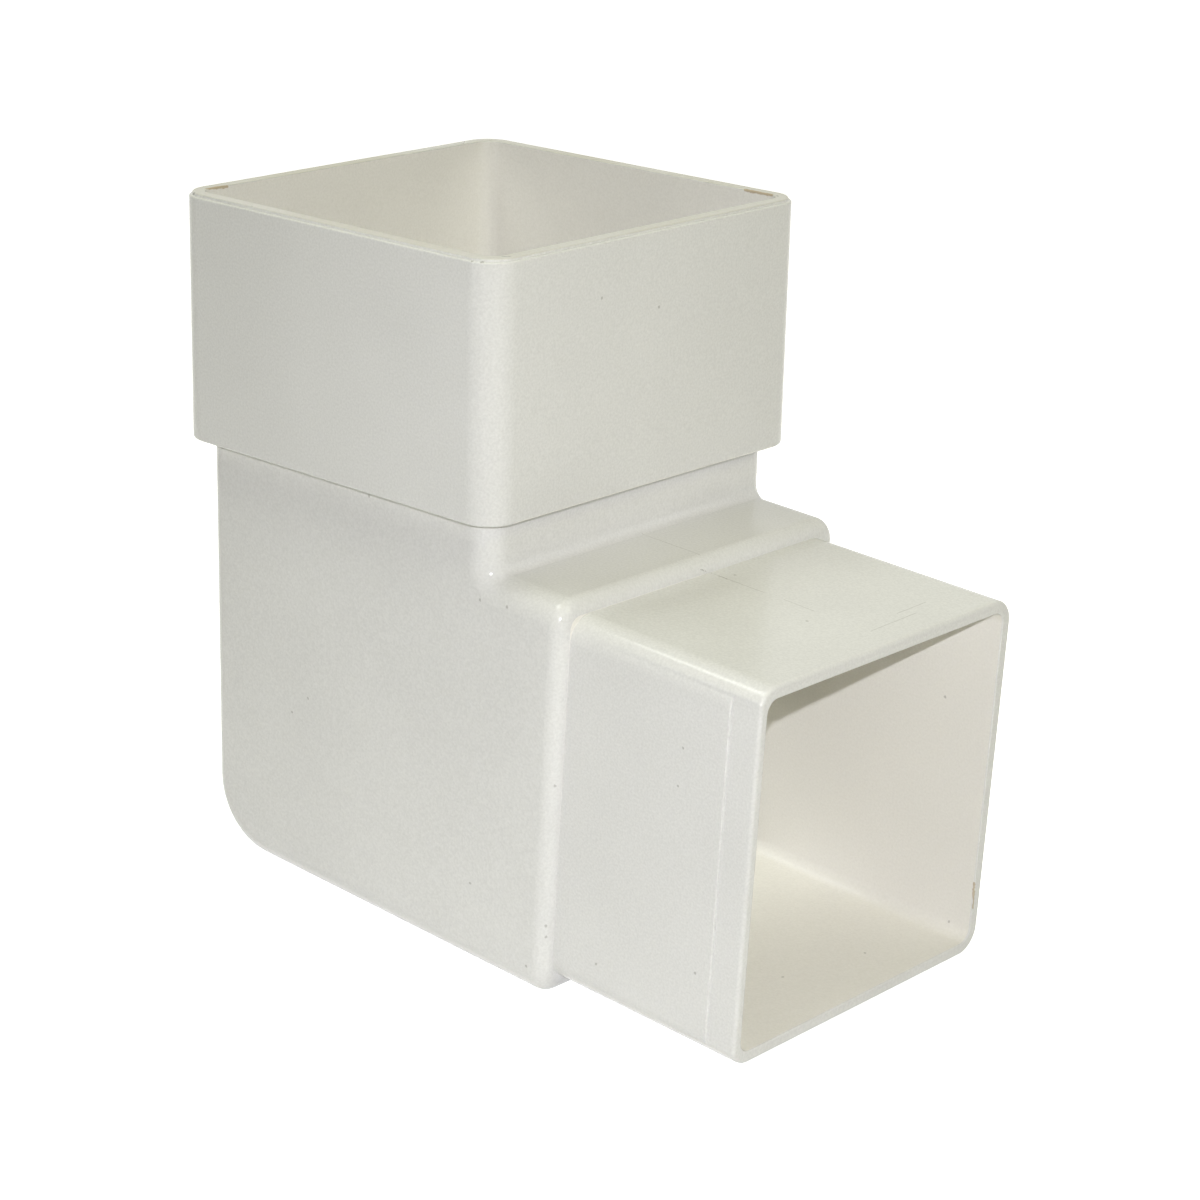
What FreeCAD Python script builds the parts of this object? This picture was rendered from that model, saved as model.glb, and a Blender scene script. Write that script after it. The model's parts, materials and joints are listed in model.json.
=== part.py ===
"""Square downspout elbow, moulded in one piece of rigid plastic.

The elbow stands on the flat underside of its outlet arm. The outlet runs along +X, and the socket
opens upwards and leans back from the outlet, so that the water still falls a little as it leaves.
The origin is on the underside, straight below the crossing of the two duct axes.
Lengths are in millimetres and angles in degrees.
"""
import FreeCAD, Part
import math
import os
import Sketcher

NODE = "elbow"
SIZES = {
    # body and outlet arm
    "body_width": 65.0,          # outside, flush with the downpipe
    "body_wall": 2.2,
    "lean_angle": 2.5,           # lean of the socket past square to the outlet
    "neck_length": 7.2,          # bare body between the arm's top and the socket
    "arm_length": 13.6,          # from the body's front to the shoulder
    "edge_radius": 4.3,          # long edges
    "heel_radius": 12.3,
    "throat_radius": 1.5,
    "shoulder_radius": 2.4,
    # socket for the downpipe above
    "socket_height": 40.6,
    "socket_gap": 0.3,           # clearance round the pipe, each side
    "socket_wall": 2.6,
    "socket_floor": 2.4,         # thickness under the ledge that the pipe stands on
    "socket_radius": 5.2,
    "foot_radius": 0.5,
    "lip_height": 0.45,          # fine step round the outside of the rim
    "lip_inset": 0.5,
    "rim_radius": 0.35,
    # spigot for the downpipe below
    "spigot_length": 36.3,
    "spigot_step": 2.45,         # set in from the body, each side
    "spigot_wall": 2.0,
    "spigot_radius": 4.1,
    "flat_length": 5.2,          # shallow flat on one side, at the mouth
    "flat_depth": 0.45,
    "mouth_radius": 0.6,
}

# Distances along the outlet axis, from the crossing of the axes
BODY_HALF = "sizes.body_width / 2"
SHOULDER = f"({BODY_HALF} + sizes.arm_length)"
MOUTH = f"({SHOULDER} + sizes.spigot_length)"

# Distances along the socket axis, from the same crossing
SOCKET_FOOT = f"({BODY_HALF} + sizes.neck_length)"
SOCKET_LEDGE = f"({SOCKET_FOOT} + sizes.socket_floor)"
SOCKET_MIDDLE = f"({SOCKET_FOOT} + sizes.socket_height / 2)"
RIM = f"({SOCKET_FOOT} + sizes.socket_height)"
LIP_FOOT = f"({RIM} - sizes.lip_height)"

# Half widths of the square sections
SOCKET_BORE_HALF = f"({BODY_HALF} + sizes.socket_gap)"
SOCKET_HALF = f"({SOCKET_BORE_HALF} + sizes.socket_wall)"
LIP_HALF = f"({SOCKET_HALF} - sizes.lip_inset)"
CORE_HALF = f"({BODY_HALF} - sizes.body_wall)"
SPIGOT_HALF = f"({BODY_HALF} - sizes.spigot_step)"
SPIGOT_BORE_HALF = f"({SPIGOT_HALF} - sizes.spigot_wall)"
FLAT_HALF = f"({SPIGOT_HALF} - sizes.flat_depth)"
CORE_FLOOR = "(sizes.spigot_step + sizes.spigot_wall)"

# Corner radii of the same sections, and of the heel inside
SOCKET_BORE_RADIUS = "(sizes.socket_radius - sizes.socket_wall)"
LIP_RADIUS = "(sizes.socket_radius - sizes.lip_inset)"
CORE_RADIUS = "(sizes.edge_radius - sizes.body_wall)"
SPIGOT_BORE_RADIUS = "(sizes.spigot_radius - sizes.spigot_wall)"
INNER_HEEL_RADIUS = "(sizes.heel_radius - sizes.body_wall)"

FRONT, BACK = 1, -1              # the upright leg's side over the outlet, and the side away from it
START, END = range(1, 3)         # ends of a drawn side, and below the axes of a sketch
LEVEL_AXIS, UPRIGHT_AXIS = range(-1, -3, -1)
ORIGIN_POINT = (LEVEL_AXIS, START)
SKETCH_NORMAL = FreeCAD.Vector(0, 0, 1)
LEAN_AXIS = FreeCAD.Vector(0, -1, 0)
TOUCHING = 1e-4


def make_sheet(doc):
    """Put each driving size in a cell of its own, under its name."""
    sheet = doc.addObject("Spreadsheet::Sheet", "sizes")
    for row, (name, value) in enumerate(SIZES.items(), start=1):
        sheet.set(f"A{row}", name)
        sheet.set(f"B{row}", str(value))
        sheet.setAlias(f"B{row}", name)
    doc.recompute()


def new_sketch(body, name, role):
    sketch = body.newObject("Sketcher::SketchObject", name)
    plane = next(feature for feature in body.Origin.OriginFeatures if feature.Role == role)
    sketch.AttachmentSupport = [(plane, "")]
    sketch.MapMode = "FlatFace"
    return sketch


def outlet_sketch(body, name, distance):
    """A sketch square to the outlet axis, with its origin on that axis."""
    sketch = new_sketch(body, name, "YZ_Plane")
    sketch.setExpression("AttachmentOffset.Base.y", BODY_HALF)
    sketch.setExpression("AttachmentOffset.Base.z", distance)
    return sketch


def socket_sketch(body, name, distance):
    """A sketch square to the leaning socket axis, with its origin on that axis."""
    sketch = new_sketch(body, name, "XY_Plane")
    lean = FreeCAD.Rotation(LEAN_AXIS, body.evalExpression("sizes.lean_angle"))
    sketch.AttachmentOffset = FreeCAD.Placement(FreeCAD.Vector(), lean)
    sketch.setExpression("AttachmentOffset.Rotation.Angle", "sizes.lean_angle")
    sketch.setExpression("AttachmentOffset.Base.x", f"-sin(sizes.lean_angle) * {distance}")
    sketch.setExpression("AttachmentOffset.Base.z", f"{BODY_HALF} + cos(sizes.lean_angle) * {distance}")
    return sketch


def hold(sketch, kind, *place):
    return sketch.addConstraint(Sketcher.Constraint(kind, *place))


def bind(sketch, name, formula, kind, *place):
    """Add a constraint whose value follows a formula of the sheet."""
    number = hold(sketch, kind, *place, sketch.evalExpression(formula))
    sketch.renameConstraint(number, name)
    sketch.setExpression(f"Constraints.{name}", formula)


def draw_arc(sketch, centre, start, end):
    """Draw the arc that runs anticlockwise from start to end, and return its number."""
    first = math.atan2(start.y - centre.y, start.x - centre.x)
    last = math.atan2(end.y - centre.y, end.x - centre.x)
    if last < first:
        last += math.tau
    circle = Part.Circle(centre, SKETCH_NORMAL, centre.distanceToPoint(start))
    return sketch.addGeometry(Part.ArcOfCircle(circle, first, last))


def draw_outline(sketch, corners):
    """Draw a closed outline, anticlockwise through corners of (point, radius formula or None).

    Side n runs from corner n to the next one, and the sides are numbered before the rounds.
    """
    count = len(corners)
    arrivals, departures, centres = [], [], []
    for number, (point, radius) in enumerate(corners):
        back = (corners[number - 1][0] - point).normalize()
        ahead = (corners[(number + 1) % count][0] - point).normalize()
        half_angle = back.getAngle(ahead) / 2
        size = sketch.evalExpression(radius) if radius else 0
        arrivals.append(point + back * (size / math.tan(half_angle)))
        departures.append(point + ahead * (size / math.tan(half_angle)))
        centres.append(point + (back + ahead).normalize() * (size / math.sin(half_angle)))
    for number in range(count):
        sketch.addGeometry(Part.LineSegment(departures[number], arrivals[(number + 1) % count]))
    for number, (point, radius) in enumerate(corners):
        before = (number - 1) % count
        if radius is None:
            hold(sketch, "Coincident", before, END, number, START)
            continue
        heading = point - corners[before][0]
        turns_left = heading.cross(centres[number] - point).z > 0
        if turns_left:
            arc = draw_arc(sketch, centres[number], arrivals[number], departures[number])
            near, far = START, END
        else:
            arc = draw_arc(sketch, centres[number], departures[number], arrivals[number])
            near, far = END, START
        hold(sketch, "Tangent", before, END, arc, near)
        hold(sketch, "Tangent", arc, far, number, START)
        bind(sketch, f"round_{number}", radius, "Radius", arc)


def draw_box(sketch, half, right_end, radius):
    """Draw a level box whose left, top and bottom lie half off the origin; return its right side."""
    reach = sketch.evalExpression(half)
    points = [(-reach, -reach), (right_end, -reach), (right_end, reach), (-reach, reach)]
    draw_outline(sketch, [(FreeCAD.Vector(x, y, 0), radius) for x, y in points])
    bottom, right, top, left = range(len(points))
    for side in (bottom, top):
        hold(sketch, "Horizontal", side)
    for side in (right, left):
        hold(sketch, "Vertical", side)
    bind(sketch, "top_half", half, "DistanceY", *ORIGIN_POINT, top, START)
    bind(sketch, "bottom_half", half, "DistanceY", bottom, START, *ORIGIN_POINT)
    bind(sketch, "left_half", half, "DistanceX", left, START, *ORIGIN_POINT)
    return right


def draw_rounded_square(sketch, half, radius):
    """Draw a square with round corners about the sketch's origin; half and radius are formulas."""
    right = draw_box(sketch, half, sketch.evalExpression(half), radius)
    bind(sketch, "right_half", half, "DistanceX", *ORIGIN_POINT, right, START)


def draw_side_strip(sketch):
    """Draw the strip that is cut off beside the spigot, out to the body's width."""
    right = draw_box(sketch, BODY_HALF, -sketch.evalExpression(FLAT_HALF), None)
    bind(sketch, "flat_half", FLAT_HALF, "DistanceX", right, START, *ORIGIN_POINT)


class Leg:
    """The upright leg in side view: its sides run along the leaning socket axis."""

    def __init__(self, sketch, half, top):
        lean = math.radians(sketch.evalExpression("sizes.lean_angle"))
        self.sketch, self.half, self.top = sketch, half, top
        self.along = FreeCAD.Vector(-math.sin(lean), math.cos(lean), 0)
        self.across = FreeCAD.Vector(math.cos(lean), math.sin(lean), 0)
        self.crossing = FreeCAD.Vector(0, sketch.evalExpression(BODY_HALF), 0)

    def corner(self, side):
        """Top corner of the front or the back."""
        reach = self.across * (side * self.sketch.evalExpression(self.half))
        return self.crossing + reach + self.along * self.sketch.evalExpression(self.top)

    def at_height(self, side, height):
        """Point of the front or the back at a height over the underside."""
        corner = self.corner(side)
        return corner + self.along * ((height - corner.y) / self.along.y)

    def tie(self, front, top, back):
        """Tie the drawn sides to the crossing of the axes and to the lean."""
        sketch = self.sketch
        crossing = sketch.addGeometry(Part.Point(self.crossing), True)
        hold(sketch, "PointOnObject", crossing, START, UPRIGHT_AXIS)
        bind(sketch, "crossing_height", BODY_HALF, "DistanceY", *ORIGIN_POINT, crossing, START)
        bind(sketch, "front_angle", "(90 + sizes.lean_angle) * 1 deg", "Angle", front)
        hold(sketch, "Perpendicular", front, top)
        hold(sketch, "Parallel", front, back)
        bind(sketch, "front_half", self.half, "Distance", crossing, START, front)
        bind(sketch, "leg_width", f"2 * {self.half}", "Distance", top)
        bind(sketch, "leg_top", self.top, "Distance", crossing, START, top)


def draw_body(sketch):
    """Side view of the outside: upright leg, heel, outlet arm up to the shoulder, and throat."""
    leg = Leg(sketch, BODY_HALF, SOCKET_MIDDLE)
    shoulder = sketch.evalExpression(SHOULDER)
    height = sketch.evalExpression("sizes.body_width")
    corners = [
        (leg.at_height(BACK, 0), "sizes.heel_radius"),
        (FreeCAD.Vector(shoulder, 0, 0), None),
        (FreeCAD.Vector(shoulder, height, 0), None),
        (leg.at_height(FRONT, height), "sizes.throat_radius"),
        (leg.corner(FRONT), None),
        (leg.corner(BACK), None),
    ]
    draw_outline(sketch, corners)
    underside, shoulder_end, arm_top, front, top, back = range(len(corners))
    hold(sketch, "Horizontal", underside)
    hold(sketch, "Vertical", shoulder_end)
    hold(sketch, "Horizontal", arm_top)
    hold(sketch, "PointOnObject", underside, END, LEVEL_AXIS)
    bind(sketch, "shoulder", SHOULDER, "DistanceX", *ORIGIN_POINT, underside, END)
    bind(sketch, "arm_height", "sizes.body_width", "DistanceY", *ORIGIN_POINT, shoulder_end, END)
    leg.tie(front, top, back)


def draw_core(sketch):
    """Side view of the hollow of the upright leg, down to the outlet's floor."""
    leg = Leg(sketch, CORE_HALF, SOCKET_MIDDLE)
    level = sketch.evalExpression(CORE_FLOOR)
    corners = [
        (leg.at_height(BACK, level), INNER_HEEL_RADIUS),
        (leg.at_height(FRONT, level), None),
        (leg.corner(FRONT), None),
        (leg.corner(BACK), None),
    ]
    draw_outline(sketch, corners)
    floor, front, top, back = range(len(corners))
    hold(sketch, "Horizontal", floor)
    bind(sketch, "floor_height", CORE_FLOOR, "DistanceY", *ORIGIN_POINT, floor, END)
    leg.tie(front, top, back)


def add_feature(body, kind, name, sketch, length):
    """Pad or pocket a sketch to a length that is a formula."""
    feature = body.newObject(f"PartDesign::{kind}", name)
    feature.Profile = sketch
    feature.setExpression("Length", length)
    body.Document.recompute()
    return feature


def round_edges(body, name, radius, wanted):
    """Round the tip's edges whose ends and middle pass a test."""
    base = body.Tip
    chosen = []
    for number, edge in enumerate(base.Shape.Edges, start=1):
        ends = (edge.FirstParameter, edge.LastParameter)
        points = [edge.valueAt(place) for place in (*ends, sum(ends) / 2)]
        if wanted(points):
            chosen.append(f"Edge{number}")
    fillet = body.newObject("PartDesign::Fillet", name)
    fillet.Base = (base, chosen)
    fillet.setExpression("Radius", radius)
    body.Document.recompute()


def near(value, target):
    return abs(value - target) < TOUCHING


class Places:
    """Measures points of the solid against the sheet's sizes, to tell its edges apart."""

    def __init__(self, body):
        self.body = body
        lean = math.radians(body.evalExpression("sizes.lean_angle"))
        self.crossing = FreeCAD.Vector(0, 0, body.evalExpression(BODY_HALF))
        self.along = FreeCAD.Vector(-math.sin(lean), 0, math.cos(lean))
        self.across = FreeCAD.Vector(math.cos(lean), 0, math.sin(lean))

    def all_at(self, points, measure, formula):
        return all(near(measure(point), self.body.evalExpression(formula)) for point in points)

    def ring_at(self, measure, formula):
        """A test for the edges that lie wholly at one place."""
        return lambda points: self.all_at(points, measure, formula)

    def sideways(self, point):
        return abs(point.y)

    def outwards(self, point):
        """Distance along the outlet axis."""
        return point.x

    def upwards(self, point):
        """Distance along the socket axis."""
        return (point - self.crossing).dot(self.along)

    def forwards(self, point):
        """Distance in front of the socket axis."""
        return (point - self.crossing).dot(self.across)

    def off_axis(self, point):
        """Distance from the socket axis, forwards or sideways, whichever is larger."""
        return max(abs(self.forwards(point)), abs(point.y))

    def height(self, point):
        return point.z


def build_outside(body, places):
    """The upright leg and the outlet arm in one block, with their rounded edges."""
    profile = new_sketch(body, "body_profile", "XZ_Plane")
    draw_body(profile)
    block = add_feature(body, "Pad", "body_block", profile, "sizes.body_width")
    block.SideType = "Symmetric"
    body.Document.recompute()

    def long_edge(points):
        at_end = places.all_at(points, places.outwards, SHOULDER)
        at_top = places.all_at(points, places.upwards, SOCKET_MIDDLE)
        return places.all_at(points, places.sideways, BODY_HALF) and not at_end and not at_top

    round_edges(body, "long_edges", "sizes.edge_radius", long_edge)
    shoulder_edge = places.ring_at(places.outwards, SHOULDER)
    round_edges(body, "shoulder_edge", "sizes.shoulder_radius", shoulder_edge)


def build_spigot(body, places):
    """The spigot, set in from the arm, and the shallow flat on its side at the mouth."""
    section = outlet_sketch(body, "spigot_section", BODY_HALF)
    draw_rounded_square(section, SPIGOT_HALF, "sizes.spigot_radius")
    add_feature(body, "Pad", "spigot", section, f"{MOUTH} - {BODY_HALF}")
    flat = outlet_sketch(body, "flat_section", MOUTH)
    draw_side_strip(flat)
    add_feature(body, "Pocket", "side_flat", flat, "sizes.flat_length")
    round_edges(body, "mouth_edge", "sizes.mouth_radius", places.ring_at(places.outwards, MOUTH))


def build_socket(body, places):
    """The socket, wider than the body, with its rounded foot and the fine step round its rim."""
    section = socket_sketch(body, "socket_section", SOCKET_FOOT)
    draw_rounded_square(section, SOCKET_HALF, "sizes.socket_radius")
    add_feature(body, "Pad", "socket", section, f"{LIP_FOOT} - {SOCKET_FOOT}")

    def foot_edge(points):
        at_foot = places.all_at(points, places.upwards, SOCKET_FOOT)
        at_body = any(near(places.off_axis(point), body.evalExpression(BODY_HALF)) for point in points)
        return at_foot and not at_body

    round_edges(body, "foot_edge", "sizes.foot_radius", foot_edge)
    rim_edge = places.ring_at(places.upwards, LIP_FOOT)
    round_edges(body, "rim_edge", "min(sizes.rim_radius; sizes.lip_inset)", rim_edge)
    lip = socket_sketch(body, "lip_section", LIP_FOOT)
    draw_rounded_square(lip, LIP_HALF, LIP_RADIUS)
    add_feature(body, "Pad", "rim_lip", lip, "sizes.lip_height")


def hollow_out(body, places):
    """The pipe's seat in the socket, the upright hollow below it and the bore of the outlet."""
    seat = socket_sketch(body, "seat_section", RIM)
    draw_rounded_square(seat, SOCKET_BORE_HALF, SOCKET_BORE_RADIUS)
    add_feature(body, "Pocket", "pipe_seat", seat, f"{RIM} - {SOCKET_LEDGE}")

    core = new_sketch(body, "core_profile", "XZ_Plane")
    draw_core(core)
    hollow = add_feature(body, "Pocket", "upright_hollow", core, f"2 * {CORE_HALF}")
    hollow.SideType = "Symmetric"
    body.Document.recompute()

    def hollow_edge(points):
        at_side = places.all_at(points, places.sideways, CORE_HALF)
        at_ledge = places.all_at(points, places.upwards, SOCKET_LEDGE)
        at_floor = places.all_at(points, places.height, CORE_FLOOR)
        at_front = places.all_at(points, places.forwards, CORE_HALF)
        return (at_side and not at_ledge) or (at_floor and at_front)

    round_edges(body, "hollow_edges", CORE_RADIUS, hollow_edge)

    bore = outlet_sketch(body, "bore_section", MOUTH)
    draw_rounded_square(bore, SPIGOT_BORE_HALF, SPIGOT_BORE_RADIUS)
    add_feature(body, "Pocket", "outlet_bore", bore, MOUTH)


def check(doc, body):
    """Stop before anything is written if a feature failed, did nothing or left no sound solid."""
    for item in doc.Objects:
        if {"Invalid", "Error"} & set(item.State):
            raise RuntimeError(f"{item.Name} failed: {item.State}")
    for feature in body.Group:
        base = getattr(feature, "BaseFeature", None)
        if base and near(feature.Shape.Volume, base.Shape.Volume):
            raise RuntimeError(f"{feature.Name} changes nothing")
    if body.Shape.isNull() or not body.Shape.isValid() or len(body.Shape.Solids) != 1:
        raise RuntimeError("the elbow isn't one sound solid")


def main():
    doc = FreeCAD.newDocument(NODE)
    make_sheet(doc)
    body = doc.addObject("PartDesign::Body", NODE)
    body.Label = NODE
    places = Places(body)
    build_outside(body, places)
    build_spigot(body, places)
    build_socket(body, places)
    hollow_out(body, places)
    doc.recompute()
    check(doc, body)
    os.makedirs("parts", exist_ok=True)
    body.Shape.exportStep(os.path.join("parts", f"{body.Label}.step"))


main()
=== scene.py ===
import json
import math

import bmesh
import bpy
from mathutils import Euler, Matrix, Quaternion, Vector


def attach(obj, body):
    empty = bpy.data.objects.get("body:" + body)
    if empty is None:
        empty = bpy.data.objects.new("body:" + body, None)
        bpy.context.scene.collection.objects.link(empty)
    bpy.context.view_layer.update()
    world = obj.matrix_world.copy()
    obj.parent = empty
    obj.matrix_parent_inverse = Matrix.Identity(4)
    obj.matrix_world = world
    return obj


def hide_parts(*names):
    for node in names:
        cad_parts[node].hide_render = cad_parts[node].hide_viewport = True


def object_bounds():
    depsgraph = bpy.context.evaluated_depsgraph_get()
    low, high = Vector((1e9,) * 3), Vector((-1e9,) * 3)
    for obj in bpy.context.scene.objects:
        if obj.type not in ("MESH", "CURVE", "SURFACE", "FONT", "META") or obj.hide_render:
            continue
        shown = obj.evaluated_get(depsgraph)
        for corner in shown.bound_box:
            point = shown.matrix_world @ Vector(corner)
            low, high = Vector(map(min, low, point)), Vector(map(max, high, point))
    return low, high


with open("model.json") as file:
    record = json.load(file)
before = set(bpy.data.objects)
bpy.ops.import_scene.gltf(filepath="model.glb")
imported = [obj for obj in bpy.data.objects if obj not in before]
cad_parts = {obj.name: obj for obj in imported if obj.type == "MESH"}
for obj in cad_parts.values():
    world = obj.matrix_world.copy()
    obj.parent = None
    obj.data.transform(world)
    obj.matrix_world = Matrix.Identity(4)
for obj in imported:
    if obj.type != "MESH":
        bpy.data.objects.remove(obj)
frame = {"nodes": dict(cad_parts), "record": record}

CAD_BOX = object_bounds()
MM = 0.001
NODE = "elbow"

# Places on the elbow, from the frame
MOUNTS = {mount["name"]: mount for mount in frame["record"]["mounts"]}
RIM_CENTRE = Vector(MOUNTS["socket"]["pos_m"])
SOCKET_AXIS = Vector(MOUNTS["socket"]["axis"])
MOUTH_CENTRE = Vector(MOUNTS["spigot"]["pos_m"])

# Camera, fitted to the outline in the photograph
PHOTO_SIZE = 1200
SENSOR_WIDTH = 36.0
FOCAL_LENGTH = 91.13
CAMERA_PLACE = Vector((326.1, -339.9, 224.0)) * MM
CAMERA_TARGET = Vector((-1.7, 0.0, 51.9)) * MM
CAMERA_ROLL = math.radians(2.59)
LENS_SHIFT = Vector((0.0981, -0.0373))    # the picture is a crop, so its middle isn't the lens axis

# Fine form of the moulding
WELD_DISTANCE = 0.001 * MM
FLAT_ANGLE = math.radians(0.05)
SHARP_ANGLE = math.radians(40)
EDGE_BREAK = 0.22 * MM
EDGE_BREAK_SEGMENTS = 3
EDGE_ROOM = 0.3 * MM              # an edge is broken only where both faces beside it reach this far
ROOM_SLACK = 0.01 * MM
MOULD_LINE_HALF_WIDTH = 0.14 * MM
MOULD_LINE_HEIGHT = 0.04 * MM
MOULD_LINE_STOP = 0.8 * MM        # the line ends this far from the rim and the mouth
UNDERSIDE_TURN = -0.9             # a face that looks down further than this is the flat underside
DUCT_REACH = 25 * MM              # a wall that sees another this far off is inside the duct
DUCT_PAINTED_LIGHT_MARK = "duct"                # attribute that is 1 on the walls of the duct, which are painted paler as painted light
SEAT_DEPTH = 38.2 * MM            # from the rim down to the ledge that stops the pipe
SEAT_PAINTED_LIGHT_SHARE = 0.75                  # share of the duct's painted light that the seat of the pipe gets, so the seat shows a little greyer than the duct below it


def show_only(piece):
    """Make a piece the only selected and active one."""
    bpy.ops.object.select_all(action="DESELECT")
    piece.select_set(True)
    bpy.context.view_layer.objects.active = piece


def select_in_edit_mode(piece, kind, wanted):
    """Select a piece's vertices, edges or faces that pass a test; edit mode is on already."""
    bpy.ops.mesh.select_mode(type=kind)
    bpy.ops.mesh.select_all(action="DESELECT")
    shape = bmesh.from_edit_mesh(piece.data)
    shape.normal_update()
    items = {"VERT": shape.verts, "EDGE": shape.edges, "FACE": shape.faces}[kind]
    for item in items:
        if wanted(item):
            item.select_set(True)
    bmesh.update_edit_mesh(piece.data)


def make_moulding():
    """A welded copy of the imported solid, with broken edges and the flash line of its mould."""
    solid = frame["nodes"][NODE]
    piece = bpy.data.objects.new("elbow_moulding", solid.data.copy())
    bpy.context.scene.collection.objects.link(piece)
    show_only(piece)
    bpy.ops.object.mode_set(mode="EDIT")
    bpy.ops.mesh.select_all(action="SELECT")
    bpy.ops.mesh.customdata_custom_splitnormals_clear()
    bpy.ops.mesh.remove_doubles(threshold=WELD_DISTANCE)
    bpy.ops.mesh.dissolve_limited(angle_limit=FLAT_ANGLE)
    break_edges(piece)
    raise_mould_line(piece)
    bpy.ops.object.mode_set(mode="OBJECT")
    mark_duct_painted_light(piece)
    bpy.ops.object.shade_smooth_by_angle(angle=SHARP_ANGLE)
    weights = piece.modifiers.new("face_weights", "WEIGHTED_NORMAL")
    weights.keep_sharp = True
    bpy.ops.object.modifier_apply(modifier=weights.name)
    return piece


def break_edges(piece):
    """Take the sharpness off the outward edges, as a moulding comes out of its mould."""

    def outward_and_sharp(edge):
        return edge.is_manifold and edge.calc_face_angle_signed() > SHARP_ANGLE and has_room(edge)

    select_in_edit_mode(piece, "EDGE", outward_and_sharp)
    bpy.ops.mesh.bevel(offset=EDGE_BREAK, segments=EDGE_BREAK_SEGMENTS, affect="EDGES", clamp_overlap=False)
    bpy.ops.mesh.select_all(action="SELECT")
    bpy.ops.mesh.remove_doubles(threshold=WELD_DISTANCE)


def has_room(edge):
    """Whether both faces beside an edge go on far enough for the edge to be broken."""
    for loop in edge.link_loops:
        start, end = loop.vert.co, loop.link_loop_next.vert.co
        inward = loop.face.normal.cross(end - start).normalized()
        probe = (start + end) / 2 + inward * EDGE_ROOM
        _, skin, _, _ = frame["nodes"][NODE].closest_point_on_mesh(probe)
        if (skin - probe).length > ROOM_SLACK:
            return False
    return True


def raise_mould_line(piece):
    """Raise the fine flash line that the two halves of the mould leave along the middle of the outside."""
    for across in (-MOULD_LINE_HALF_WIDTH, 0.0, MOULD_LINE_HALF_WIDTH):
        bpy.ops.mesh.select_all(action="SELECT")
        bpy.ops.mesh.bisect(plane_co=(0, across, 0), plane_no=(0, 1, 0))

    def on_the_line(vertex):
        if abs(vertex.co.y) > WELD_DISTANCE:
            return False
        near_rim = (vertex.co - RIM_CENTRE).dot(SOCKET_AXIS) > -MOULD_LINE_STOP
        near_mouth = vertex.co.x > MOUTH_CENTRE.x - MOULD_LINE_STOP
        underneath = vertex.normal.z < UNDERSIDE_TURN
        return not (near_rim or near_mouth or underneath or sees_the_duct(vertex.co, vertex.normal))

    select_in_edit_mode(piece, "VERT", on_the_line)
    bpy.ops.transform.shrink_fatten(value=MOULD_LINE_HEIGHT)


def sees_the_duct(place, normal):
    """Whether a point of the skin looks across the duct at another wall of it."""
    start = place + normal * EDGE_BREAK
    hit, wall, _, _ = frame["nodes"][NODE].ray_cast(start, normal)
    return hit and (wall - start).length > DUCT_REACH


def mark_duct_painted_light(piece):
    """Give the faces of the duct's walls the attribute that paints light on them in the plastic, with less of
    it in the seat.
    """
    marks = piece.data.attributes.new(DUCT_PAINTED_LIGHT_MARK, "FLOAT", "FACE")
    for face in piece.data.polygons:
        in_the_seat = (face.center - RIM_CENTRE).dot(SOCKET_AXIS) > -SEAT_DEPTH
        if sees_the_duct(face.center, face.normal):
            marks.data[face.index].value = SEAT_PAINTED_LIGHT_SHARE if in_the_seat else 1.0


# Marks on the plastic, by the pixels of the photograph where they show
SPECK_RADIUS = 0.3 * MM
SPECK_STRENGTH = 0.36
SPECKS = {
    "socket_side_low": (369, 496),
    "socket_front_top_left": (602, 298),
    "socket_front_top_right": (659, 307),
    "edge_foot_left": (480, 600),
    "edge_foot_right": (507, 607),
    "heel_upper": (308, 698),
    "heel_lower": (292, 712),
    "body_low": (470, 883),
    "body_bottom": (526, 966),
    "shoulder_middle": (555, 786),
    "shoulder_low": (546, 926),
    "shoulder_lowest": (546, 937),
    "spigot_side_upper": (683, 748),
    "spigot_side_middle": (678, 786),
    "spigot_side_bottom": (695, 973),
    "spigot_side_corner": (596, 964),
    "spigot_top_near": (735, 575),
    "spigot_top_far": (807, 621),
    "mouth_wall_top": (945, 697),
    "mouth_floor_left": (783, 977),
    "mouth_floor_middle": (865, 953),
    "mouth_floor_right": (949, 922),
}
STAIN_STRENGTH = 0.62
STAINS = {                        # from a pixel to a pixel, and half the stain's width
    "rim_back_left": ((206, 188.5), (227, 186.5), 0.34 * MM),
    "rim_back_right": ((745, 190), (772, 195), 0.34 * MM),
    "mouth_edge": ((974, 883), (973, 908), 0.22 * MM),
}
STREAK_STRENGTH = 0.42
STREAKS = {                       # dirt in short streaks, from a pixel to a pixel, and half the width
    "rim_back_left_corner": ((193.5, 194), (194.5, 193), 0.26 * MM),
    "rim_back_right_corner": ((777, 195.5), (778, 196.5), 0.24 * MM),
    "rim_front_gap": ((503, 256.5), (509.5, 256.5), 0.36 * MM),
    "rim_front_dot": ((481.5, 262), (483.5, 262), 0.26 * MM),
    "rim_front_end": ((472, 261), (473, 261), 0.26 * MM),
    "line_tear_left": ((701, 569.5), (712, 573), 0.12 * MM),
    "line_tear_right": ((719, 576), (727, 579), 0.1 * MM),
}
SEAM_RADIUS = 0.1 * MM
SEAM_STRENGTH = 0.26
SEAMS = {                         # where dirt has caught on the flash line, and two thin dark lines on the spigot's top
    "arm_top": ((642, 533.5), (700, 555)),
    "spigot_top_near": ((714, 574), (764, 592.5)),
    "spigot_top_far": ((784, 599.5), (814, 611)),
    "top_line_long": ((871, 631), (916, 613)),
    "top_line_short": ((897, 613.5), (926, 602)),
}
MARK_SHARPNESS = 0.5              # share of a mark's radius that is at full strength
MARK_WANDER = 0.25 * MM           # how far the edge of a mark strays
NO_LENGTH = 1e-12                 # stands for the length of a round speck

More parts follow.
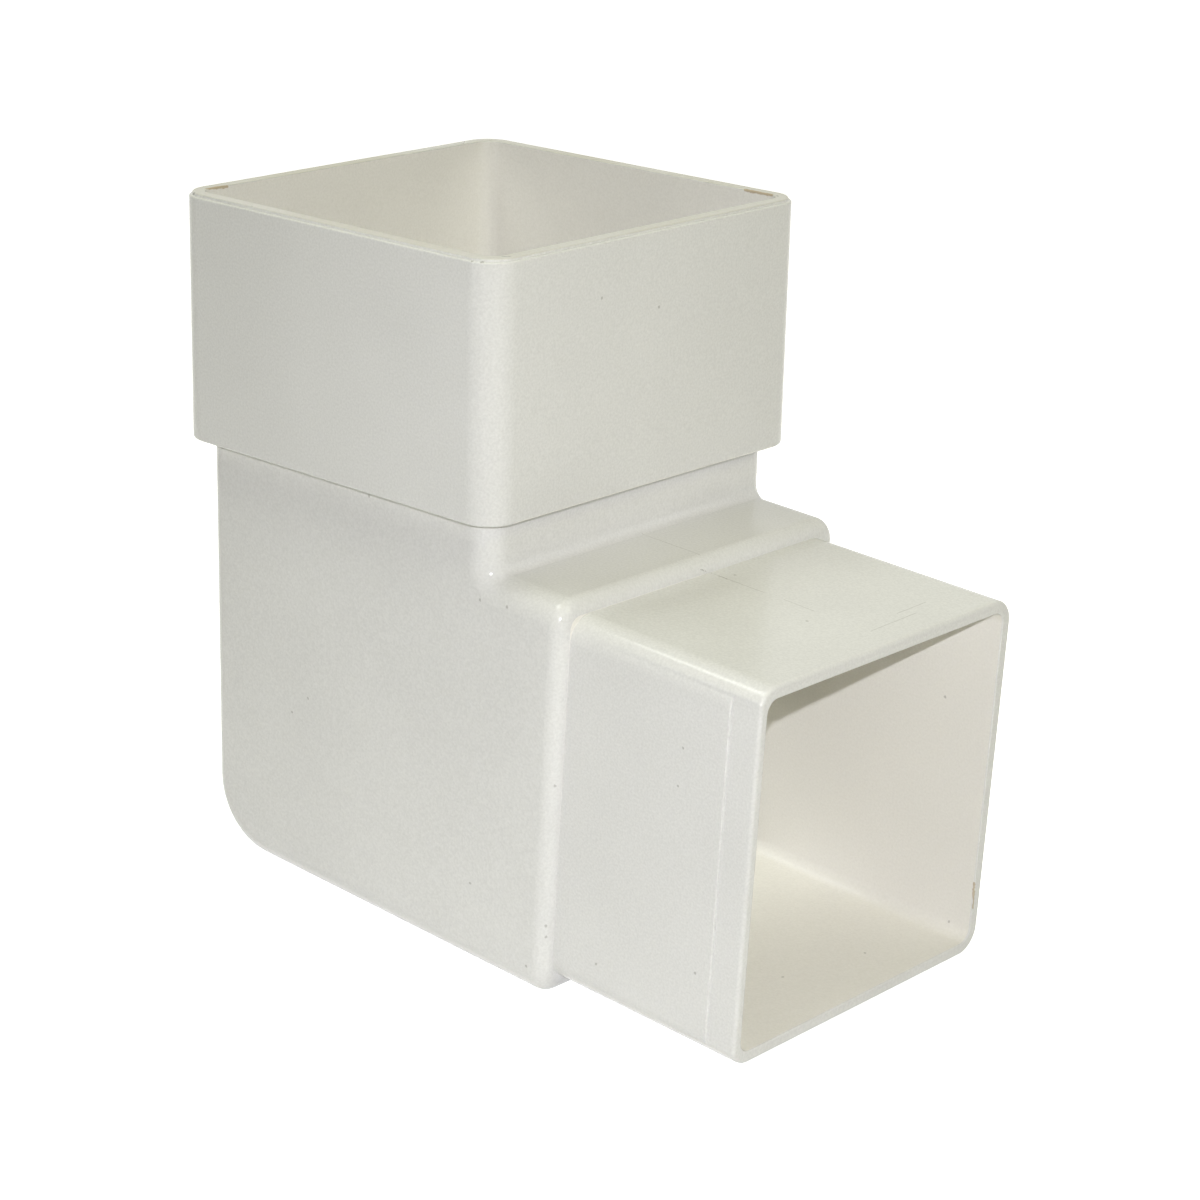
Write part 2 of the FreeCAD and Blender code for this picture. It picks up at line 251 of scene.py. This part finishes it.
# Grey-white rigid plastic
SKIN_LIGHT = (0.91, 0.907, 0.903, 1)
SKIN_DEEP = (0.65, 0.647, 0.643, 1)
# painted light: the duct's walls are the same plastic, painted paler and warmer to stand in for the light
# inside the duct
DUCT_LIGHT_PAINTED_LIT = (1.0, 0.98, 0.94, 1)
DUCT_DEEP_PAINTED_LIT = (0.82, 0.80, 0.76, 1)
# the rim's top is darkened partly by real grime and partly by painted shade
RIM_GRIME_AND_SHADE = (0.60, 0.57, 0.47, 1)
DIRT = (0.10, 0.085, 0.06, 1)
STAIN = (0.40, 0.26, 0.09, 1)
GRIME_AND_SHADE_FROM = -0.2 * MM            # height from the rim's top where the grime and painted shade start
GRIME_AND_SHADE_FULL = -0.05 * MM           # and where it is full
GRIME_AND_SHADE_SHARE = 0.45
GRIME_DULL = 0.3                  # added roughness
GRAIN_SHARE = 0.65                # the rest of the tone is cloud
PEEL_HEIGHT = 0.012 * MM
GLOSSY, DULL = 0.14, 0.23         # roughness
SHEEN_LEVEL = 0.36                # specular level of the plastic

# Noise patterns: scale per metre, and detail
CLOUD = (38, 2)
GRAIN = (2600, 1)
WANDER = (2600, 0)
PEEL = (650, 2)
GLOSS = (120, 3)
NOISE_MIDDLE = 0.5


def surface_at(piece, pixel):
    """The point of a piece that a pixel of the photograph shows."""
    camera = bpy.context.scene.camera
    across, down = ((value - PHOTO_SIZE / 2) / PHOTO_SIZE for value in pixel)
    on_sensor = (Vector((across, -down)) + LENS_SHIFT) * SENSOR_WIDTH
    ray = Vector((*on_sensor, -FOCAL_LENGTH)).normalized()
    hit, place, _, _ = piece.ray_cast(CAMERA_PLACE, camera.rotation_quaternion @ ray)
    if not hit:
        raise ValueError(f"pixel {pixel} shows no surface")
    return place


def plug(links, socket, value):
    """Give a socket a plain value, or a link from another socket."""
    if isinstance(value, bpy.types.NodeSocket):
        links.new(value, socket)
    else:
        socket.default_value = value


def math_node(nodes, links, operation, first, second):
    """A sum on two values, each plain or a socket."""
    node = nodes.new("ShaderNodeMath")
    node.operation = operation
    plug(links, node.inputs[0], first)
    plug(links, node.inputs[1], second)
    return node


def vector_node(nodes, links, operation, first, second):
    """A sum on two vectors, or on a vector and its scale, each plain or a socket."""
    node = nodes.new("ShaderNodeVectorMath")
    node.operation = operation
    plug(links, node.inputs[0], first)
    plug(links, node.inputs["Scale"] if operation == "SCALE" else node.inputs[1], second)
    return node


def noise(nodes, links, coordinates, scale, detail):
    node = nodes.new("ShaderNodeTexNoise")
    links.new(coordinates, node.inputs["Vector"])
    node.inputs["Scale"].default_value = scale
    node.inputs["Detail"].default_value = detail
    return node


def mix_colours(nodes, links, share, first, second):
    """Mix two colours, each a plain colour or a socket; a share of 1 is all of the second."""
    node = nodes.new("ShaderNodeMix")
    node.data_type = "RGBA"
    sockets = [socket for socket in node.inputs if socket.type == "RGBA"]
    links.new(share, node.inputs["Factor"])
    for socket, colour in zip(sockets, (first, second)):
        plug(links, socket, colour)
    return next(socket for socket in node.outputs if socket.type == "RGBA")


def make_dirt_mark():
    """A speck or a streak of dirt: 1 near the line from its start to its end, 0 past its radius."""
    group = bpy.data.node_groups.new("dirt_mark", "ShaderNodeTree")
    for name in ("Coordinates", "Start", "End"):
        group.interface.new_socket(name, in_out="INPUT", socket_type="NodeSocketVector")
    group.interface.new_socket("Radius", in_out="INPUT", socket_type="NodeSocketFloat")
    group.interface.new_socket("Amount", in_out="OUTPUT", socket_type="NodeSocketFloat")
    nodes, links = group.nodes, group.links
    given = nodes.new("NodeGroupInput").outputs
    there = vector_node(nodes, links, "SUBTRACT", given["Coordinates"], given["Start"]).outputs[0]
    line = vector_node(nodes, links, "SUBTRACT", given["End"], given["Start"]).outputs[0]
    reach = vector_node(nodes, links, "DOT_PRODUCT", there, line).outputs["Value"]
    length = vector_node(nodes, links, "DOT_PRODUCT", line, line).outputs["Value"]
    some_length = math_node(nodes, links, "MAXIMUM", length, NO_LENGTH).outputs[0]
    share = math_node(nodes, links, "DIVIDE", reach, some_length)
    share.use_clamp = True
    along = vector_node(nodes, links, "SCALE", line, share.outputs[0]).outputs[0]
    aside = vector_node(nodes, links, "DISTANCE", there, along).outputs["Value"]
    edge = nodes.new("ShaderNodeMapRange")
    edge.interpolation_type = "SMOOTHSTEP"
    links.new(math_node(nodes, links, "DIVIDE", aside, given["Radius"]).outputs[0], edge.inputs["Value"])
    edge.inputs["From Min"].default_value = 1.0
    edge.inputs["From Max"].default_value = MARK_SHARPNESS
    links.new(edge.outputs[0], nodes.new("NodeGroupOutput").inputs["Amount"])
    return group


def spread_marks(nodes, links, dirt_mark, coordinates, places):
    """The amount of dirt that a set of marks leaves; each mark has a start, an end and a radius."""
    total = None
    for start, end, radius in places:
        mark = nodes.new("ShaderNodeGroup")
        mark.node_tree = dirt_mark
        links.new(coordinates, mark.inputs["Coordinates"])
        mark.inputs["Start"].default_value = start
        mark.inputs["End"].default_value = end
        mark.inputs["Radius"].default_value = radius
        amount = mark.outputs["Amount"]
        total = math_node(nodes, links, "MAXIMUM", total, amount).outputs[0] if total else amount
    return total


def rim_grime_and_shade(nodes, links, coordinates, patches):
    """The thin grime on top of the socket's rim, in patches, which also darkens the rim's top as painted
    shade.
    """
    rim_height = RIM_CENTRE.dot(SOCKET_AXIS)
    band = nodes.new("ShaderNodeMapRange")
    height = vector_node(nodes, links, "DOT_PRODUCT", coordinates, SOCKET_AXIS).outputs["Value"]
    links.new(height, band.inputs["Value"])
    band.inputs["From Min"].default_value = rim_height + GRIME_AND_SHADE_FROM
    band.inputs["From Max"].default_value = rim_height + GRIME_AND_SHADE_FULL
    patchy = math_node(nodes, links, "ADD", patches, GRIME_AND_SHADE_SHARE - NOISE_MIDDLE).outputs[0]
    return math_node(nodes, links, "MULTIPLY", band.outputs[0], patchy).outputs[0]


def make_plastic(piece):
    """Grey-white rigid plastic with a semi-gloss moulded skin, duct walls painted paler as painted light, rim
    grime that is partly painted shade, specks and stains.
    """
    material = bpy.data.materials.new("grey_white_plastic")
    material.use_nodes = True
    nodes, links = material.node_tree.nodes, material.node_tree.links
    shader = nodes["Principled BSDF"]
    place = nodes.new("ShaderNodeTexCoord").outputs["Object"]

    cloud = noise(nodes, links, place, *CLOUD).outputs[0]
    grain = noise(nodes, links, place, *GRAIN).outputs[0]
    tone = nodes.new("ShaderNodeMix")
    tone.inputs["Factor"].default_value = GRAIN_SHARE
    links.new(cloud, tone.inputs["A"])
    links.new(grain, tone.inputs["B"])
    # painted light: the duct attribute paints the duct's walls paler and warmer, with less of it in the seat
    duct = nodes.new("ShaderNodeAttribute")
    duct.attribute_name = DUCT_PAINTED_LIGHT_MARK
    deep = mix_colours(nodes, links, duct.outputs["Fac"], SKIN_DEEP, DUCT_DEEP_PAINTED_LIT)
    light = mix_colours(nodes, links, duct.outputs["Fac"], SKIN_LIGHT, DUCT_LIGHT_PAINTED_LIT)
    skin = mix_colours(nodes, links, tone.outputs[0], deep, light)
    # grime on the rim's top, partly painted shade that darkens it
    grime_and_shade = rim_grime_and_shade(nodes, links, place, cloud)
    skin = mix_colours(nodes, links, grime_and_shade, skin, RIM_GRIME_AND_SHADE)

    wander = noise(nodes, links, place, *WANDER).outputs["Color"]
    shake = vector_node(nodes, links, "MULTIPLY_ADD", wander, (MARK_WANDER,) * 3)
    centred = vector_node(nodes, links, "ADD", place, (-MARK_WANDER * NOISE_MIDDLE,) * 3)
    links.new(centred.outputs[0], shake.inputs[2])
    shaken = shake.outputs[0]
    specks = [(pixel, pixel, SPECK_RADIUS) for pixel in SPECKS.values()]
    seams = [(start, end, SEAM_RADIUS) for start, end in SEAMS.values()]
    dirt_mark = make_dirt_mark()
    for marks, where, strength, colour in (
        (specks, shaken, SPECK_STRENGTH, DIRT),
        (seams, place, SEAM_STRENGTH, DIRT),
        (STREAKS.values(), shaken, STREAK_STRENGTH, DIRT),
        (STAINS.values(), shaken, STAIN_STRENGTH, STAIN),
    ):
        places = [(surface_at(piece, start), surface_at(piece, end), radius) for start, end, radius in marks]
        amount = spread_marks(nodes, links, dirt_mark, where, places)
        share = math_node(nodes, links, "MULTIPLY", amount, strength).outputs[0]
        skin = mix_colours(nodes, links, share, skin, colour)
    links.new(skin, shader.inputs["Base Color"])

    gloss = nodes.new("ShaderNodeMapRange")
    links.new(noise(nodes, links, place, *GLOSS).outputs[0], gloss.inputs["Value"])
    gloss.inputs["To Min"].default_value = GLOSSY
    gloss.inputs["To Max"].default_value = DULL
    dulled = math_node(nodes, links, "MULTIPLY", grime_and_shade, GRIME_DULL).outputs[0]
    links.new(math_node(nodes, links, "ADD", gloss.outputs[0], dulled).outputs[0], shader.inputs["Roughness"])
    shader.inputs["Specular IOR Level"].default_value = SHEEN_LEVEL

    peel = nodes.new("ShaderNodeBump")
    peel.inputs["Distance"].default_value = PEEL_HEIGHT
    links.new(noise(nodes, links, place, *PEEL).outputs[0], peel.inputs["Height"])
    links.new(peel.outputs[0], shader.inputs["Normal"])
    return material


def add_camera():
    data = bpy.data.cameras.new("camera")
    data.sensor_width = SENSOR_WIDTH
    data.lens = FOCAL_LENGTH
    data.shift_x, data.shift_y = LENS_SHIFT
    camera = bpy.data.objects.new("camera", data)
    bpy.context.scene.collection.objects.link(camera)
    camera.location = CAMERA_PLACE
    aim = (CAMERA_TARGET - CAMERA_PLACE).to_track_quat("-Z", "Y")
    camera.rotation_mode = "QUATERNION"
    camera.rotation_quaternion = aim @ Quaternion((0, 0, 1), CAMERA_ROLL)
    bpy.context.scene.camera = camera


# White floor and white room
WHITE = (1, 1, 1, 1)
PAPER = (0.8, 0.8, 0.8, 1)
FLOOR_SIZE = 6.0
FLOOR_GLOW = 0.92                 # share of the floor's white that the object's shadow can't take away
ROOM_LIGHT = (0.092, 0.087, 0.072, 1)


def seen_directly(nodes, links):
    """1 where a ray comes from the camera, a reflection or a clear body, else 0."""
    path = nodes.new("ShaderNodeLightPath")
    total = path.outputs["Is Camera Ray"]
    for name in ("Is Glossy Ray", "Is Transmission Ray"):
        total = math_node(nodes, links, "MAXIMUM", total, path.outputs[name]).outputs[0]
    return total


def add_floor():
    """White paper under the elbow, which also glows where it is seen directly."""
    bpy.ops.object.select_all(action="DESELECT")
    bpy.ops.mesh.primitive_plane_add(size=FLOOR_SIZE, location=(0, 0, CAD_BOX[0].z))
    floor = bpy.context.object
    floor.name = "floor"
    material = bpy.data.materials.new("white_floor")
    material.use_nodes = True
    nodes, links = material.node_tree.nodes, material.node_tree.links
    nodes.clear()
    paper = nodes.new("ShaderNodeBsdfDiffuse")
    paper.inputs["Color"].default_value = PAPER
    glow = nodes.new("ShaderNodeEmission")
    glow.inputs["Strength"].default_value = FLOOR_GLOW
    lit = nodes.new("ShaderNodeAddShader")
    links.new(paper.outputs[0], lit.inputs[0])
    links.new(glow.outputs[0], lit.inputs[1])
    mix = nodes.new("ShaderNodeMixShader")
    links.new(seen_directly(nodes, links), mix.inputs[0])
    links.new(paper.outputs[0], mix.inputs[1])
    links.new(lit.outputs[0], mix.inputs[2])
    output = nodes.new("ShaderNodeOutputMaterial")
    links.new(mix.outputs[0], output.inputs[0])
    floor.data.materials.append(material)


def add_sky():
    """A room that is white to the eye and lights the elbow only a little."""
    world = bpy.data.worlds.new("white_room")
    bpy.context.scene.world = world
    world.use_nodes = True
    nodes, links = world.node_tree.nodes, world.node_tree.links
    colour = mix_colours(nodes, links, seen_directly(nodes, links), ROOM_LIGHT, WHITE)
    links.new(colour, nodes["Background"].inputs["Color"])


# Lamps
ELBOW_MIDDLE = Vector((24.0, 0.0, 52.0)) * MM
LAMPS = {                         # azimuth and elevation in degrees, distance, size, power and colour
    "ceiling_lamp": (-30, 78, 0.9, 0.5, 1.3, (1, 1, 0.58)),
    "left_lamp": (-60, 61.5, 0.9, 0.28, 1.85, (0.96, 1, 0.95)),
    "right_lamp": (87, 46, 1.0, 0.28, 1.55, (1, 1, 0.66)),
}
FILLS = {                         # azimuth in degrees
    "left_fill": -108,
    "back_fill": 175,
}
FILL_CONE = math.radians(26)      # wide enough for the elbow, and hardly wider
FILL_RADIUS = 150 * MM
FILL_DISTANCE = 1.0
FILL_ELEVATION = 5
FILL_POWER = 14
FILL_COLOUR = (1, 1, 1)
FLASH_SIDEWAYS = 4 * MM           # place of the flash beside the lens
FLASH_UP = 23 * MM
FLASH_RADIUS = 3 * MM
FLASH_CONE = math.radians(55)
FLASH_AIM = (720, 850)            # pixel of the photograph that the flash looks at
FLASH_POWER = 5.0
FLASH_COLOUR = (0.963, 0.962, 1.0)
SOFT_CONE = 1.0                   # a cone of light that fades all the way from its middle to its edge


def set_lamp(data, place, target, power, colour):
    """Put a lamp in its place and turn it to its target."""
    data.energy = power
    data.color = colour
    lamp = bpy.data.objects.new(data.name, data)
    bpy.context.scene.collection.objects.link(lamp)
    lamp.location = place
    lamp.rotation_euler = (target - place).to_track_quat("-Z", "Y").to_euler()
    return lamp


def place_around(azimuth, elevation, distance):
    """A place around the elbow's middle; azimuth 0 is in front, at -Y, and 90 at +X."""
    turn = Euler((math.radians(-elevation), 0, math.radians(azimuth)))
    return ELBOW_MIDDLE + turn.to_matrix() @ Vector((0, -distance, 0))


def add_lamp(name, place, size, power, colour):
    """A square lamp that looks at the middle of the elbow."""
    data = bpy.data.lights.new(name, "AREA")
    data.shape = "SQUARE"
    data.size = size
    set_lamp(data, place, ELBOW_MIDDLE, power, colour)


def add_spot(name, place, target, cone, radius, power, colour):
    """A round lamp with a soft cone of light."""
    data = bpy.data.lights.new(name, "SPOT")
    data.shadow_soft_size = radius
    data.spot_size = cone
    data.spot_blend = SOFT_CONE
    return set_lamp(data, place, target, power, colour)


def add_fill(name, azimuth):
    """A low, soft lamp that lifts the sides away from the camera and makes no glint on them."""
    place = place_around(azimuth, FILL_ELEVATION, FILL_DISTANCE)
    fill = add_spot(name, place, ELBOW_MIDDLE, FILL_CONE, FILL_RADIUS, FILL_POWER, FILL_COLOUR)
    fill.visible_glossy = False


def add_flash(piece):
    """The small flash beside the lens, which lights the outlet a little more than the socket."""
    aside = bpy.context.scene.camera.rotation_quaternion @ Vector((FLASH_SIDEWAYS, FLASH_UP, 0))
    target = surface_at(piece, FLASH_AIM)
    add_spot("flash_lamp", CAMERA_PLACE + aside, target, FLASH_CONE, FLASH_RADIUS, FLASH_POWER, FLASH_COLOUR)


add_camera()
moulding = make_moulding()
moulding.data.materials.clear()
moulding.data.materials.append(make_plastic(moulding))
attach(moulding, "root")
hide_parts(NODE)

add_floor()
add_sky()
add_flash(moulding)
for lamp_name, (azimuth, elevation, distance, size, power, colour) in LAMPS.items():
    add_lamp(lamp_name, place_around(azimuth, elevation, distance), size, power, colour)
for lamp_name, azimuth in FILLS.items():
    add_fill(lamp_name, azimuth)

bpy.context.scene.view_settings.view_transform = "Standard"
